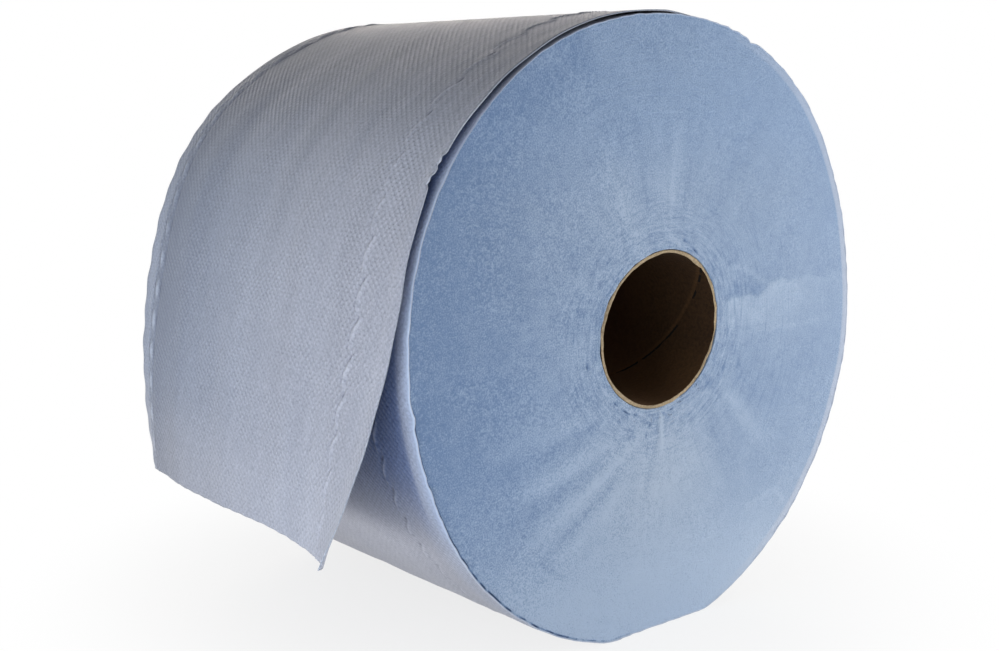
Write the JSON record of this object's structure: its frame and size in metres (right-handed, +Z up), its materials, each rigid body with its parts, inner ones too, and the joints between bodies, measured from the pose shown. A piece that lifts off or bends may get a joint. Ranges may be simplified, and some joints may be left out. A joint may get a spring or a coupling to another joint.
{
  "type": "paper towel roll",
  "caption": "Wide roll of blue embossed paper towel on a cardboard core, lying on its side with its loose end hanging free.",
  "frame": {"origin": "middle of the bore through the cardboard core", "axes": "+Y along the core, away from the end that the picture shows; +Z up; the loose end hangs on the -X side"},
  "size_m": [0.3322, 0.21, 0.2894],
  "materials": {
    "blue_paper": "matt, micro-embossed two-ply tissue",
    "core_board": "matt, spirally wound grey-brown board"
  },
  "bodies": {
    "root": {"paper_roll": "blue_paper", "core_tube": "core_board"}
  },
  "joints": []
}
